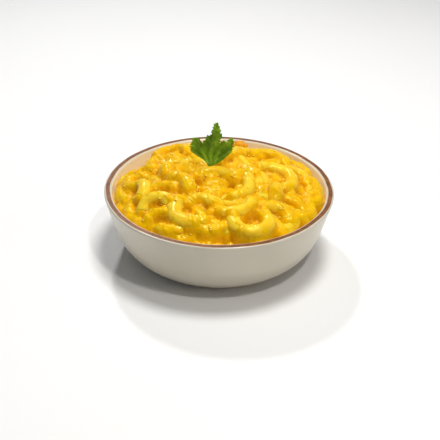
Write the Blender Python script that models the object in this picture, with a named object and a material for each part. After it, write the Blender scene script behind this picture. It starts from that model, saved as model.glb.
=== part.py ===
"""Round bowl heaped with macaroni and cheese, with one flat parsley leaf standing in the heap.

Metres, +Z up. The origin is the centre of the foot ring's underside, and -Y is the served side.
The bowl is a turned profile. The heap is one closed solid that fills the bowl with a small gap and
rises to a dome of curved macaroni. The leaf is a thin toothed plate that leans back.
"""
import math
import random

import bmesh
import bpy
import numpy as np
from mathutils import Vector
from mathutils.geometry import delaunay_2d_cdt

MM = 0.001

# Bowl
BOWL_HEIGHT = 46.3 * MM
RIM_RADIUS = 75.0 * MM
WALL_THICKNESS = 4.8 * MM
WALL_LEAN = math.radians(14.6)       # from upright
WALL_STRAIGHT = 22.8 * MM            # straight stretch below the rim
RIM_OUTER_EDGE = 1.0 * MM            # roundings of the flat rim
RIM_INNER_EDGE = 1.6 * MM
SHOULDER_RADIUS = 32.2 * MM          # outside, where the wall turns in to the base
FLOOR_LEVEL = 7.0 * MM               # inside floor
FLOOR_CURVE_RISE = 0.4 * MM          # soft joint of the inside floor and the shoulder
FLOOR_CURVE_RUN = 3.0 * MM
FOOT_RADIUS = 51.0 * MM
FOOT_HEIGHT = 1.6 * MM
FOOT_WIDTH = 6.0 * MM
FOOT_EDGE = 0.5 * MM                 # small chamfer of the foot ring
FOOT_FILLET = 0.3 * MM               # rise from the foot ring to the shoulder
UNDERSIDE_LEVEL = 1.9 * MM           # shallow recess inside the foot ring
UNDERSIDE_SLOPE = 1.2 * MM
BOWL_SEGMENTS = 68

# Heap of macaroni and cheese
HEAP_GAP = 0.35 * MM                 # between the food and the bowl
HEAP_FLOOR_RISE = 0.8 * MM           # the food's lowest corner, above the bowl's floor
DOME_TOP = 61.0 * MM
DOME_POWER = 3.0
DOME_RADIUS = 70.0 * MM
EDGE_FRONT = 45.5 * MM               # height of the dome at its edge, by side
EDGE_BACK = 40.5 * MM
EDGE_LEFT = 41.0 * MM
EDGE_RIGHT = 43.5 * MM
EDGE_DROP = 2.0 * MM                 # the food rounds down to the wall by this much
BACK_HOLLOW = 4.0 * MM               # the food lies this much lower along the back of the wall
BACK_HOLLOW_START = 57.0 * MM        # radius where that hollow begins
BACK_HOLLOW_RUN = 8.0 * MM           # and how far out it reaches its full depth
HEAP_RINGS = 26
HEAP_SEGMENTS = 82
HEAP_SIDE_ROWS = 5

# Curved macaroni that shows as relief on the heap
ELBOW_COUNT = 62
ELBOW_TUBE = 4.2 * MM                # outer radius of the tube
ELBOW_BEND = 9.0 * MM                # radius of the bent centreline
ELBOW_HALF_TURN = math.radians(82.0)
ELBOW_SHIFT = 0.6                    # share of the bend between an elbow's place and its centre
ELBOW_SINK = 1.8 * MM                # elbows lie between this far under the dome
ELBOW_RISE = 0.6 * MM                # and this far above it
ELBOW_LIMIT = 1.0 * MM               # no elbow rises further above the dome
STANDING_SHARE = 0.35                # share of the elbows that stand on their ends
ARCH_HALF_LENGTH = 10.5 * MM         # these show as short arches
ARCH_DROP = 3.6 * MM
CREVICE_DEPTH = 4.6 * MM             # sauce level between the macaroni, below the dome
SPIRAL_TURN = math.radians(137.508)
ELBOW_SPREAD = 66.0 * MM

# Parsley leaf
LEAF_FOOT_X = -6.2 * MM
LEAF_FOOT_Y = -1.5 * MM
LEAF_LEAN = math.radians(15.0)       # backwards from upright
LEAF_THICKNESS = 0.8 * MM
LEAF_GAP = 0.3 * MM
LEAF_CUP = 5.5                       # sideways curl per metre
LEAF_WAVE = 0.9 * MM                 # the blade sways forward and back along its length
LEAF_WAVE_LENGTH = 5.0 * MM
LEAF_GRID_MM = 3.0                   # spacing of the points inside the outline
LEAF_GRID_LOW = (-14.0, 1.0)
LEAF_GRID_HIGH = (16.0, 30.0)
LEAF_SEAT_RADIUS = 5.0 * MM          # level place in the heap under the leaf's foot
LEAF_SEAT_DEPTH = 0.8 * MM
WELD = 0.001 * MM

# Tips and notches of the leaf's outline, in millimetres from the foot of its stalk, going round
# from the stalk up the right side, over the middle lobe and down the left side.
LEAF_OUTLINE_MM = (
    (0.7, -0.2), (1.7, 0.6), (4.4, 1.6), (7.1, 3.2), (9.8, 5.4), (12.6, 8.2), (14.8, 11.1),
    (13.5, 11.4), (15.5, 13.3), (14.1, 13.9), (15.4, 15.5), (14.8, 17.4), (14.2, 19.1),
    (12.6, 18.4), (11.3, 17.4), (10.8, 15.0), (9.8, 16.4), (8.3, 17.0), (6.9, 16.0), (5.8, 14.9),
    (6.4, 17.4), (7.8, 19.5), (7.2, 21.1), (6.4, 21.7), (6.7, 23.8), (5.8, 25.2), (5.3, 27.3),
    (3.7, 28.8), (2.2, 27.3), (1.5, 25.1), (1.7, 23.6), (0.5, 23.4), (1.0, 21.5), (0.0, 19.9),
    (-1.6, 20.2), (-2.8, 19.0), (-2.9, 17.4), (-4.1, 16.4), (-5.1, 14.6), (-5.9, 15.8),
    (-6.3, 17.4), (-7.1, 18.3), (-8.3, 18.0), (-11.1, 18.6), (-11.8, 16.4), (-11.3, 15.5),
    (-12.8, 14.6), (-11.6, 13.4), (-13.3, 12.3), (-11.8, 11.8), (-13.0, 10.3), (-10.5, 7.9),
    (-7.3, 5.7), (-4.7, 4.3), (-2.3, 2.0), (-0.6, -0.2),
)

# Colours: linear RGB
BOWL_COLOUR = (0.62, 0.57, 0.47, 1.0)
FOOD_COLOUR = (0.80, 0.42, 0.03, 1.0)
LEAF_COLOUR = (0.07, 0.18, 0.015, 1.0)


def clear_scene():
    for old in list(bpy.data.objects):
        bpy.data.objects.remove(old, do_unlink=True)


def make_material(name, colour, roughness):
    material = bpy.data.materials.new(name)
    material.use_nodes = True
    shader = material.node_tree.nodes["Principled BSDF"]
    shader.inputs["Base Color"].default_value = colour
    shader.inputs["Roughness"].default_value = roughness
    shader.inputs["Metallic"].default_value = 0.0
    return material


def add_object(name, bm, material):
    mesh = bpy.data.meshes.new(name)
    bm.to_mesh(mesh)
    bm.free()
    mesh.materials.append(material)
    mesh.shade_smooth()
    piece = bpy.data.objects.new(name, mesh)
    bpy.context.scene.collection.objects.link(piece)
    return piece


# ---------------------------------------------------------------- bowl

def wall_point(down, depth):
    """Radius and height of a point in the straight wall: down along it from where the rim's
    outer rounding ends, and depth inside its outer face."""
    inset = RIM_OUTER_EDGE - depth
    centre_r = RIM_RADIUS - RIM_OUTER_EDGE
    centre_z = BOWL_HEIGHT - RIM_OUTER_EDGE
    r = centre_r + inset * math.cos(WALL_LEAN) - down * math.sin(WALL_LEAN)
    z = centre_z - inset * math.sin(WALL_LEAN) - down * math.cos(WALL_LEAN)
    return r, z


def arc_points(centre, radius, start, end, count):
    """Arc in the half section. Its angles are measured from straight outwards."""
    angles = np.linspace(start, end, count)
    return [(centre[0] + radius * math.cos(a), centre[1] + radius * math.sin(a)) for a in angles]


def rim_points():
    """Flat top of the wall with a rounding on each side, from the outer face to the inner."""
    outer_centre = (RIM_RADIUS - RIM_OUTER_EDGE, BOWL_HEIGHT - RIM_OUTER_EDGE)
    depth = WALL_THICKNESS - RIM_INNER_EDGE
    level = BOWL_HEIGHT - RIM_INNER_EDGE
    down = (wall_point(0.0, depth)[1] - level) / math.cos(WALL_LEAN)
    inner_centre = wall_point(down, depth)
    quarter = math.pi / 2.0
    outer = arc_points(outer_centre, RIM_OUTER_EDGE, -WALL_LEAN, quarter, 5)
    inner = arc_points(inner_centre, RIM_INNER_EDGE, quarter, math.pi - WALL_LEAN, 4)
    return outer + inner


def shoulder_points(depth, low_level, count):
    """Arc that lies depth inside the outer wall, from low_level up to the straight stretch."""
    centre_r, centre_z = wall_point(WALL_STRAIGHT, SHOULDER_RADIUS)
    radius = SHOULDER_RADIUS - depth
    start = -math.asin((centre_z - low_level) / radius)
    return arc_points((centre_r, centre_z), radius, start, -WALL_LEAN, count)


def bowl_profile():
    """Half section of the bowl, from the middle of the underside round to the inside floor."""
    inner_foot = FOOT_RADIUS - FOOT_WIDTH
    points = [(0.0, UNDERSIDE_LEVEL), (inner_foot * 0.5, UNDERSIDE_LEVEL)]
    points += [(inner_foot - UNDERSIDE_SLOPE, UNDERSIDE_LEVEL)]
    points += [(inner_foot, FOOT_EDGE), (inner_foot + FOOT_EDGE, 0.0)]
    points += [(FOOT_RADIUS - FOOT_EDGE, 0.0), (FOOT_RADIUS, FOOT_EDGE), (FOOT_RADIUS, FOOT_HEIGHT)]
    points += shoulder_points(0.0, FOOT_HEIGHT + FOOT_FILLET, 9)
    points += rim_points()
    points += reversed(shoulder_points(WALL_THICKNESS, FLOOR_LEVEL + FLOOR_CURVE_RISE, 7))
    floor_r = points[-1][0]
    points += [(floor_r - FLOOR_CURVE_RUN, FLOOR_LEVEL)]
    points += [(floor_r * 0.5, FLOOR_LEVEL), (0.0, FLOOR_LEVEL)]
    return points


def turn_profile(points, segments):
    """Spins a half section about Z into a closed body."""
    bm = bmesh.new()
    verts = [bm.verts.new((r, 0.0, z)) for r, z in points]
    edges = [bm.edges.new(pair) for pair in zip(verts[:-1], verts[1:])]
    bmesh.ops.spin(
        bm,
        geom=verts + edges,
        cent=(0.0, 0.0, 0.0),
        axis=(0.0, 0.0, 1.0),
        angle=2.0 * math.pi,
        steps=segments,
        use_duplicate=False,
    )
    bmesh.ops.remove_doubles(bm, verts=bm.verts, dist=WELD)
    bmesh.ops.recalc_face_normals(bm, faces=bm.faces)
    return bm


# ---------------------------------------------------------------- heap

def dome_height(x, y):
    """Smooth height of the heap before its relief: a dome whose edge height changes by side,
    with a hollow along the back of the wall."""
    radius = np.hypot(x, y)
    turn = np.arctan2(y, x)
    front_back = np.where(np.sin(turn) < 0.0, EDGE_FRONT, EDGE_BACK)
    left_right = np.where(np.cos(turn) < 0.0, EDGE_LEFT, EDGE_RIGHT)
    edge = front_back * np.sin(turn) ** 2 + left_right * np.cos(turn) ** 2
    share = np.clip(radius / DOME_RADIUS, 0.0, 1.0)
    height = edge + (DOME_TOP - edge) * (1.0 - share ** DOME_POWER)
    step = np.clip((radius - BACK_HOLLOW_START) / BACK_HOLLOW_RUN, 0.0, 1.0)
    back = np.clip(np.sin(turn), 0.0, 1.0) ** 2
    return height - BACK_HOLLOW * back * step * step * (3.0 - 2.0 * step)


def elbow_layout():
    """Places the elbows on a sunflower spiral, each with its own heading, lift and pose."""
    draw = random.Random(7)
    layout = []
    for index in range(ELBOW_COUNT):
        reach = ELBOW_SPREAD * math.sqrt((index + 0.5) / ELBOW_COUNT)
        turn = index * SPIRAL_TURN
        heading = draw.uniform(0.0, 2.0 * math.pi)
        lift = draw.uniform(-ELBOW_SINK, ELBOW_RISE)
        stands = draw.random() < STANDING_SHARE
        layout.append((reach * math.cos(turn), reach * math.sin(turn), heading, lift, stands))
    return layout


def lying_elbow(u, v):
    """Distance in plan from the bent centreline of an elbow that lies flat, and no drop."""
    centre_u = u + ELBOW_SHIFT * ELBOW_BEND
    angle = np.clip(np.arctan2(v, centre_u), -ELBOW_HALF_TURN, ELBOW_HALF_TURN)
    near_u = ELBOW_BEND * np.cos(angle)
    near_v = ELBOW_BEND * np.sin(angle)
    return np.hypot(centre_u - near_u, v - near_v), np.zeros_like(u)


def standing_elbow(u, v):
    """Distance in plan from an elbow that stands on its ends, and its drop along the arch."""
    along = np.clip(v, -ARCH_HALF_LENGTH, ARCH_HALF_LENGTH)
    return np.hypot(u, v - along), ARCH_DROP * (along / ARCH_HALF_LENGTH) ** 2


def heap_height(x, y, layout):
    """Height of the heap: the highest elbow at each place, or the sauce between them."""
    dome = dome_height(x, y)
    top = dome - CREVICE_DEPTH
    for centre_x, centre_y, heading, lift, stands in layout:
        u = (x - centre_x) * math.cos(heading) + (y - centre_y) * math.sin(heading)
        v = (y - centre_y) * math.cos(heading) - (x - centre_x) * math.sin(heading)
        away, drop = standing_elbow(u, v) if stands else lying_elbow(u, v)
        base = dome_height(np.array(centre_x), np.array(centre_y)) - ELBOW_TUBE + lift
        crest = base - drop + np.sqrt(np.clip(ELBOW_TUBE ** 2 - away ** 2, 0.0, None))
        crest = np.minimum(crest, dome + ELBOW_LIMIT)
        top = np.where(away < ELBOW_TUBE, np.maximum(top, crest), top)
    seat = np.hypot(x - LEAF_FOOT_X, y - LEAF_FOOT_Y) / LEAF_SEAT_RADIUS
    blend = np.clip(2.0 - seat, 0.0, 1.0)
    return top * (1.0 - blend) + (dome - LEAF_SEAT_DEPTH) * blend


def wall_contour():
    """Outer contour of the food against the bowl, from the rim down to the middle of the floor."""
    depth = WALL_THICKNESS + HEAP_GAP
    down = (wall_point(0.0, depth)[1] - BOWL_HEIGHT) / math.cos(WALL_LEAN)
    arc = shoulder_points(depth, FLOOR_LEVEL + HEAP_FLOOR_RISE, 12)
    floor = [(arc[0][0] - FLOOR_CURVE_RUN, FLOOR_LEVEL + HEAP_GAP)]
    return np.array([wall_point(down, depth)] + arc[::-1] + floor)


def heap_rows(layout):
    """Rows of points from the top's middle out to the wall and down it to the floor."""
    contour = wall_contour()
    turns = np.arange(HEAP_SEGMENTS) * 2.0 * math.pi / HEAP_SEGMENTS
    cos_t, sin_t = np.cos(turns), np.sin(turns)
    steps = np.arange(len(contour), dtype=float)
    edge_z = dome_height(DOME_RADIUS * cos_t, DOME_RADIUS * sin_t) - EDGE_DROP
    edge_step = np.interp(edge_z, contour[::-1, 1], steps[::-1])
    edge_r = np.interp(edge_step, steps, contour[:, 0])
    rows = []
    for ring in range(1, HEAP_RINGS):
        share = ring / HEAP_RINGS
        x, y = edge_r * share * cos_t, edge_r * share * sin_t
        rows.append(np.stack([x, y, heap_height(x, y, layout)], axis=1))
    last = len(contour) - 1.0
    for row in range(HEAP_SIDE_ROWS + 1):
        step = edge_step + (last - edge_step) * row / HEAP_SIDE_ROWS
        r = np.interp(step, steps, contour[:, 0])
        z = np.interp(step, steps, contour[:, 1])
        rows.append(np.stack([r * cos_t, r * sin_t, z], axis=1))
    return rows


def skin_rows(rows, top, bottom):
    """Joins rows of points into a closed body with a point at each end."""
    bm = bmesh.new()
    top_vert = bm.verts.new(top)
    loops = [[bm.verts.new(point) for point in row] for row in rows]
    bottom_vert = bm.verts.new(bottom)
    count = len(loops[0])
    for i in range(count):
        j = (i + 1) % count
        bm.faces.new((top_vert, loops[0][i], loops[0][j]))
        for upper, lower in zip(loops[:-1], loops[1:]):
            bm.faces.new((upper[i], lower[i], lower[j], upper[j]))
        bm.faces.new((bottom_vert, loops[-1][j], loops[-1][i]))
    bmesh.ops.recalc_face_normals(bm, faces=bm.faces)
    return bm


def heap_mesh(layout):
    middle = heap_height(np.zeros(1), np.zeros(1), layout)[0]
    top = (0.0, 0.0, middle)
    bottom = (0.0, 0.0, FLOOR_LEVEL + HEAP_GAP)
    return skin_rows(heap_rows(layout), top, bottom)


# ---------------------------------------------------------------- leaf

def leaf_curl(x, y):
    """How far the leaf's face curls forward, away from its middle line."""
    return LEAF_WAVE * math.sin(y / LEAF_WAVE_LENGTH) - LEAF_CUP * x * x


def leaf_point(x, y):
    """Turns a point of the flat leaf into its leaning place, before it is set on the heap."""
    back = leaf_curl(x, y)
    rise = y * math.cos(LEAF_LEAN) - back * math.sin(LEAF_LEAN)
    away = y * math.sin(LEAF_LEAN) + back * math.cos(LEAF_LEAN)
    return LEAF_FOOT_X + x, LEAF_FOOT_Y + away, rise


def leaf_triangles():
    """Fills the outline with triangles over a loose grid, so that the leaf can bend."""
    outline = [Vector((x * MM, y * MM)) for x, y in LEAF_OUTLINE_MM]
    count = len(outline)
    rim = [(i, (i + 1) % count) for i in range(count)]
    across = np.arange(LEAF_GRID_LOW[0], LEAF_GRID_HIGH[0], LEAF_GRID_MM)
    along = np.arange(LEAF_GRID_LOW[1], LEAF_GRID_HIGH[1], LEAF_GRID_MM)
    grid = [Vector((x * MM, y * MM)) for x in across for y in along]
    filled = delaunay_2d_cdt(outline + grid, rim, [], 1, WELD)
    return filled[0], filled[2]


def leaf_mesh():
    """One bent sheet of the leaf, set just clear of the heap. A modifier gives its thickness."""
    flat, faces = leaf_triangles()
    used = sorted({index for face in faces for index in face})
    places = {index: leaf_point(flat[index].x, flat[index].y) for index in used}
    seat = float(dome_height(np.array(LEAF_FOOT_X), np.array(LEAF_FOOT_Y))) - LEAF_SEAT_DEPTH
    lowest = min(place[2] for place in places.values())
    lift = seat + LEAF_GAP + LEAF_THICKNESS - lowest
    bm = bmesh.new()
    verts = {index: bm.verts.new((x, y, z + lift)) for index, (x, y, z) in places.items()}
    for face in faces:
        bm.faces.new([verts[index] for index in face])
    bmesh.ops.recalc_face_normals(bm, faces=bm.faces)
    return bm


def add_thickness(piece, thickness):
    solidify = piece.modifiers.new("thickness", "SOLIDIFY")
    solidify.thickness = thickness
    solidify.offset = 0.0
    solidify.use_even_offset = False


def build():
    clear_scene()
    layout = elbow_layout()
    bowl = turn_profile(bowl_profile(), BOWL_SEGMENTS)
    add_object("bowl", bowl, make_material("cream_glaze", BOWL_COLOUR, 0.25))
    add_object("mac_and_cheese", heap_mesh(layout), make_material("cheese", FOOD_COLOUR, 0.35))
    leaf = add_object("parsley", leaf_mesh(), make_material("leaf_green", LEAF_COLOUR, 0.5))
    add_thickness(leaf, LEAF_THICKNESS)


build()
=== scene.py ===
"""Looks of the bowl of macaroni and cheese: the glazed bowl, the hollow elbows, the cheese sauce
that fills and coats them, and the parsley leaf that stands in the heap."""

import math

import bpy
import numpy as np
from mathutils import Matrix, Vector
from mathutils.geometry import delaunay_2d_cdt


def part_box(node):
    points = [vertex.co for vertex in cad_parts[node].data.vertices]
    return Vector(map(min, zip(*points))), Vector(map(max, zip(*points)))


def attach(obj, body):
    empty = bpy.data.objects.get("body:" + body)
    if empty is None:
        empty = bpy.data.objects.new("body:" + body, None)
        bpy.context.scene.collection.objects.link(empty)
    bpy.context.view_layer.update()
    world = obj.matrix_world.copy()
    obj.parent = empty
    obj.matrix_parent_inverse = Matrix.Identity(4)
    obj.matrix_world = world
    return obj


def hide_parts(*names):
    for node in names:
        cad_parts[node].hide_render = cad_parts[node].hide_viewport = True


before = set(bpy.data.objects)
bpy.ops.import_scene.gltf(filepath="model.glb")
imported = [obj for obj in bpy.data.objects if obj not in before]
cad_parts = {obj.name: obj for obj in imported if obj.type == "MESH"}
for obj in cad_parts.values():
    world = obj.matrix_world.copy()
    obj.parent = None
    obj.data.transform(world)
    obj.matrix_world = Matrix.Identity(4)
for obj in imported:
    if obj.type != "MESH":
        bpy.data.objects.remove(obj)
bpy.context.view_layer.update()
MM = 0.001
FAR = 1e3                  # beyond every height and distance here, in millimetres

# Bowl, in millimetres, as in the frame
BOWL_HEIGHT = (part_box("bowl")[1].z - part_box("bowl")[0].z) / MM
RIM_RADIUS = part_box("bowl")[1].x / MM
WALL_THICKNESS = 4.8
WALL_LEAN = math.radians(14.6)
WALL_STRAIGHT = 22.8
RIM_OUTER_EDGE = 1.0
RIM_INNER_EDGE = 1.6
SHOULDER_RADIUS = 32.2
FLOOR_LEVEL = 7.0
FOOT_RADIUS = 51.0
FOOT_HEIGHT = 1.6
FOOT_WIDTH = 6.0
FOOT_EDGE = 0.5
UNDERSIDE_LEVEL = 1.9

# Heap, in millimetres
DOME_TOP = 61.0
DOME_POWER = 3.0
DOME_RADIUS = 70.0
EDGE_FRONT = 45.5
EDGE_BACK = 40.5
EDGE_LEFT = 41.0
EDGE_RIGHT = 43.5
BACK_HOLLOW = 4.0
BACK_HOLLOW_START = 57.0
BACK_HOLLOW_RUN = 8.0
CORE_DEPTH = 15.0          # loose elbows are laid from this far under the dome
MAP_STEP = 0.5             # spacing of the height map of the heap
MAP_HALF = 76.0

# Elbows that lie on top: place of the bend's centre, direction of the bend's middle, turn of the
# bend, bend radius, tube radius, pitch of the bend's middle upwards, how far the elbow follows the
# dome's slope, lift above the dome, and how bare the pasta is.
FRONT_ELBOWS = (
    (-6, -46, 270, 95, 12.5, 4.8, 0, 0.6, -0.6, 0.2),
    (-22, -57, 300, 90, 9.0, 4.2, 0, 0.4, -0.4, 0.2),
    (-38, -38, 232, 90, 12.5, 4.4, 0, 0.5, -0.4, 0.2),
    (-35, -51, 90, 100, 9.5, 4.4, 0, 1.0, -0.4, 0.1),
    (-27, -48, 262, 90, 9.5, 4.3, 0, 0.5, -0.2, 0.4),
    (28, -55, 65, 130, 12.0, 4.2, 0, 0.6, -0.6, 0.4),
    (42, -35, 35, 100, 12.0, 4.1, 0, 1.0, -0.6, 0.2),
    (33, -44, 62, 120, 9.7, 4.6, 0, 0.8, -0.2, 0.3),
    (50, -29, 320, 115, 9.5, 4.4, 0, 0.6, 0.2, 0.1),
    (57, -12, 335, 120, 8.0, 4.3, 0, 0.6, 0.0, 0.2),
    (-58, -20, 210, 120, 8.0, 4.4, 0, 0.6, 0.6, 0.1),
    (-57, 8, 160, 120, 8.5, 4.3, 0, 0.6, 0.8, 0.1),
    (37, -45, 350, 90, 11.5, 4.8, 0, 0.8, 0.6, 0.6),
    (-48, -32, 165, 100, 10.5, 4.6, 0, 0.8, -0.3, 0.2),
    (-36, -26, 85, 100, 11.0, 4.4, 0, 1.0, -0.8, 0.4),
    (-52, -8, 180, 110, 13.0, 5.0, 0, 0.6, 0.2, 0.3),
    (-52, -1, 200, 110, 8.5, 4.3, 0, 1.0, -0.2, 0.1),
    (-38, 18, 170, 120, 9.5, 4.2, 0, 1.0, -0.2, 0.0),
    (-7, 6, 238, 80, 14.0, 4.4, 0, 1.0, -0.8, 0.2),
    (20, -11, 125, 105, 10.0, 4.4, 0, 1.0, -1.0, 0.1),
    (19, 20, 95, 120, 10.0, 4.2, 0, 1.0, 0.0, 0.4),
    (49, 4, 50, 120, 9.5, 4.3, 0, 1.0, 0.0, 0.6),
    (51, -2, 0, 110, 13.0, 4.6, 0, 0.5, -0.2, 0.2),
    (50, 25, 60, 130, 9.5, 4.2, 0, 1.0, 0.2, 0.0),
    (33, 19.5, 72, 150, 11.5, 4.4, 0, 1.0, 0.4, 0.2),
    (-4, -14.5, 93, 115, 12.5, 4.4, 0, 1.0, -1.0, 0.5),
    (9, 10, 150, 110, 11.0, 4.4, 0, 1.0, 0.0, 0.1),
    (-33, 34, 95, 170, 10.5, 4.4, 0, 0.8, 2.2, 0.1),
    (-22, 49, 95, 150, 9.0, 4.2, 15, 0.8, 3.2, 0.1),
    (-11, -42, 85, 105, 9.5, 4.4, 0, 1.0, -0.3, 0.9),
    (7, -32, 300, 105, 13.8, 4.3, 0, 1.0, 0.4, 0.8),
    (6, -19, 332, 100, 13.0, 4.2, 0, 1.0, 0.8, 0.9),
    (33.5, -4, 33, 180, 13.6, 4.5, 0, 1.0, 1.0, 0.9),
    (33.5, -20.5, 0, 150, 8.0, 4.6, 85, 1.0, 1.0, 0.7),
    (-33.5, 1.5, 0, 150, 8.0, 5.0, 85, 1.0, 2.4, 0.3),
    (-32.5, -24, 35, 80, 14.0, 4.9, 0, 1.0, 2.0, 0.5),
    (-56, -17, 0, 85, 10.5, 4.4, 0, 1.0, 1.0, 1.0),
    (-38, -38, 92, 160, 9.5, 4.4, 15, 1.0, 1.4, 0.9),
    (-15, -43, 218, 160, 12.0, 5.0, 0, 0.8, 1.4, 0.7),
    (19.5, -50.6, 286, 228, 10.6, 4.5, 0, 0.35, 3.2, 1.0),
)
CROSSING_SINK = 3.0        # an elbow on top sinks this far into the ones it crosses, or further
CROSSING_LIFT = 1.4        # where this much raising isn't enough to keep it to that
LOOSE_SINK = 1.5           # the same for the loose ones below
SKIP_RADIUS = 2.6          # no elbow is tried again so near a place where none would settle
POSES_TRIED = 14
FILL_RADIUS = 66.5
WEDGE_RADIUS = 67.0
WEDGE_SPACING = 4.2        # least distance between elbows pushed into hollows
ELBOW_WALL = 0.30          # of the tube radius
BORE_DEPTH = (0.4, 3.5)    # how far down its bore the sauce closes an elbow
ELBOW_TUBE = 4.2
ELBOW_BEND = 9.2
ELBOW_ROUND = 18           # points round the tube
ELBOW_ALONG = 22           # points along it

# Sauce
THIN_BALL = 1.2            # radius of the ball that can't get into the hollows that it fills
RICH_BALL = 2.2            # the same where it lies rich
COAT = (-0.45, 0.8)        # least and most over the elbows' crests
EDGE_IN_WALL = 0.5         # how far its edge goes into the bowl's wall, at the least
SIDE_IN_WALL = 0.3         # and its side

# Places where small wet crumbs of cheese gather, and how many lie at each
CRUMB_PLACES = (
    (-50, -3), (-40, 3), (-19, 2), (-10, -9), (0, -9), (11, -12), (-34, -36), (-22, -51),
    (-16, -18), (-17, -23), (36, 31), (37, -38), (24, -28), (22, -27), (-3, -36), (-4, -60),
    (54, 13), (-41, -54), (-57, -18), (17, 36),
)
CRUMBS_AT_PLACE = 7
LOOSE_CRUMBS = 130
CRUMB_SPREAD = 2.2
CRUMB_SIZE = (0.35, 0.85)
CRUMB_TALL = 0.6           # of its width
# Melted cheese at the back edge: place, size and height above the sauce
CHEESE_BITS = ((14, 56.5, 3.8, 2.2), (9.5, 56, 2.8, 1.2), (17.5, 55, 2.4, 0.8))


# ---- general shapes

def add_mesh(name, points, quads, triangles=None):
    """Puts arrays of points (in millimetres) and faces into a mesh object at the origin."""
    mesh = bpy.data.meshes.new(name)
    loops = quads.reshape(-1)
    starts = np.arange(0, len(loops), 4)
    sizes = np.full(len(starts), 4)
    if triangles is not None:
        triangles = triangles.reshape(-1, 3)
        starts = np.concatenate([starts, len(loops) + np.arange(len(triangles)) * 3])
        sizes = np.concatenate([sizes, np.full(len(triangles), 3)])
        loops = np.concatenate([loops, triangles.reshape(-1)])
    mesh.vertices.add(len(points))
    mesh.vertices.foreach_set("co", (points * MM).astype(np.float32).reshape(-1))
    mesh.loops.add(len(loops))
    mesh.loops.foreach_set("vertex_index", loops.astype(np.int32))
    mesh.polygons.add(len(starts))
    mesh.polygons.foreach_set("loop_start", starts.astype(np.int32))
    mesh.polygons.foreach_set("loop_total", sizes.astype(np.int32))
    mesh.update(calc_edges=True)
    mesh.validate()
    mesh.shade_smooth()
    piece = bpy.data.objects.new(name, mesh)
    bpy.context.scene.collection.objects.link(piece)
    return piece


def add_values(piece, name, values):
    """Stores one number for each point of a piece."""
    layer = piece.data.attributes.new(name, "FLOAT", "POINT")
    layer.data.foreach_set("value", values.astype(np.float32).reshape(-1))


def ring_quads(rows, count):
    """Faces between rows of points, each row closed round: (row, k), (row + 1, k), and their
    neighbours at k + 1."""
    row, k = np.meshgrid(np.arange(rows - 1), np.arange(count), indexing="ij")
    nxt = (k + 1) % count
    return np.stack([row * count + k, (row + 1) * count + k, (row + 1) * count + nxt,
                     row * count + nxt], axis=-1)


def turned(r, turn, z):
    """Points at radius r, angle turn and height z: x = r cos turn, y = r sin turn."""
    return np.stack(np.broadcast_arrays(r * np.cos(turn), r * np.sin(turn), z), -1)


def fan(centre, first, count, outwards):
    """Triangles from one centre point to a closed row of points."""
    k = np.arange(count)
    nxt = (k + 1) % count
    middle = np.full(count, centre)
    if outwards:
        return np.stack([middle, first + k, first + nxt], axis=-1)
    return np.stack([middle, first + nxt, first + k], axis=-1)


def waves(points, size, seed, count=14):
    """Smooth unevenness: a sum of sine waves of random direction and phase, about one size long."""
    draw = np.random.default_rng(seed)
    direction = draw.normal(size=(count, points.shape[-1]))
    direction /= np.linalg.norm(direction, axis=1, keepdims=True)
    pace = 2.0 * math.pi / (size * draw.uniform(0.6, 1.6, count))
    phase = draw.uniform(0.0, 2.0 * math.pi, count)
    total = np.zeros(points.shape[:-1])
    for k in range(count):
        total += np.sin(points @ (direction[k] * pace[k]) + phase[k])
    return total / math.sqrt(count / 2.0)


# ---- bowl

def wall_point(down, depth):
    """Radius and height of a point in the straight wall: down along it from the rim's outer
    rounding, and depth inside its outer face."""
    inset = RIM_OUTER_EDGE - depth
    r = RIM_RADIUS - RIM_OUTER_EDGE + inset * math.cos(WALL_LEAN) - down * math.sin(WALL_LEAN)
    z = BOWL_HEIGHT - RIM_OUTER_EDGE - inset * math.sin(WALL_LEAN) - down * math.cos(WALL_LEAN)
    return r, z


def arc_points(centre, radius, start, end, count):
    """Arc in the half section, its angles measured from straight outwards."""
    angle = np.linspace(start, end, count)
    return np.stack([centre[0] + radius * np.cos(angle), centre[1] + radius * np.sin(angle)], 1)


def shoulder_points(depth, low_level, count):
    """Arc depth inside the outer wall, from low_level up to the straight stretch."""
    centre = wall_point(WALL_STRAIGHT, SHOULDER_RADIUS)
    radius = SHOULDER_RADIUS - depth
    start = -math.asin((centre[1] - low_level) / radius)
    return arc_points(centre, radius, start, -WALL_LEAN, count)


def rim_points():
    """Flat top of the wall with a rounding on each side."""
    outer_centre = (RIM_RADIUS - RIM_OUTER_EDGE, BOWL_HEIGHT - RIM_OUTER_EDGE)
    depth = WALL_THICKNESS - RIM_INNER_EDGE
    down = (wall_point(0.0, depth)[1] - BOWL_HEIGHT + RIM_INNER_EDGE) / math.cos(WALL_LEAN)
    inner_centre = wall_point(down, depth)
    quarter = math.pi / 2.0
    outer = arc_points(outer_centre, RIM_OUTER_EDGE, -WALL_LEAN, quarter, 9)
    inner = arc_points(inner_centre, RIM_INNER_EDGE, quarter, math.pi - WALL_LEAN, 9)
    flat = outer[-1] + (inner[0] - outer[-1]) * np.linspace(0.15, 0.85, 6)[:, None]
    return np.concatenate([outer, flat, inner])


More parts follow.
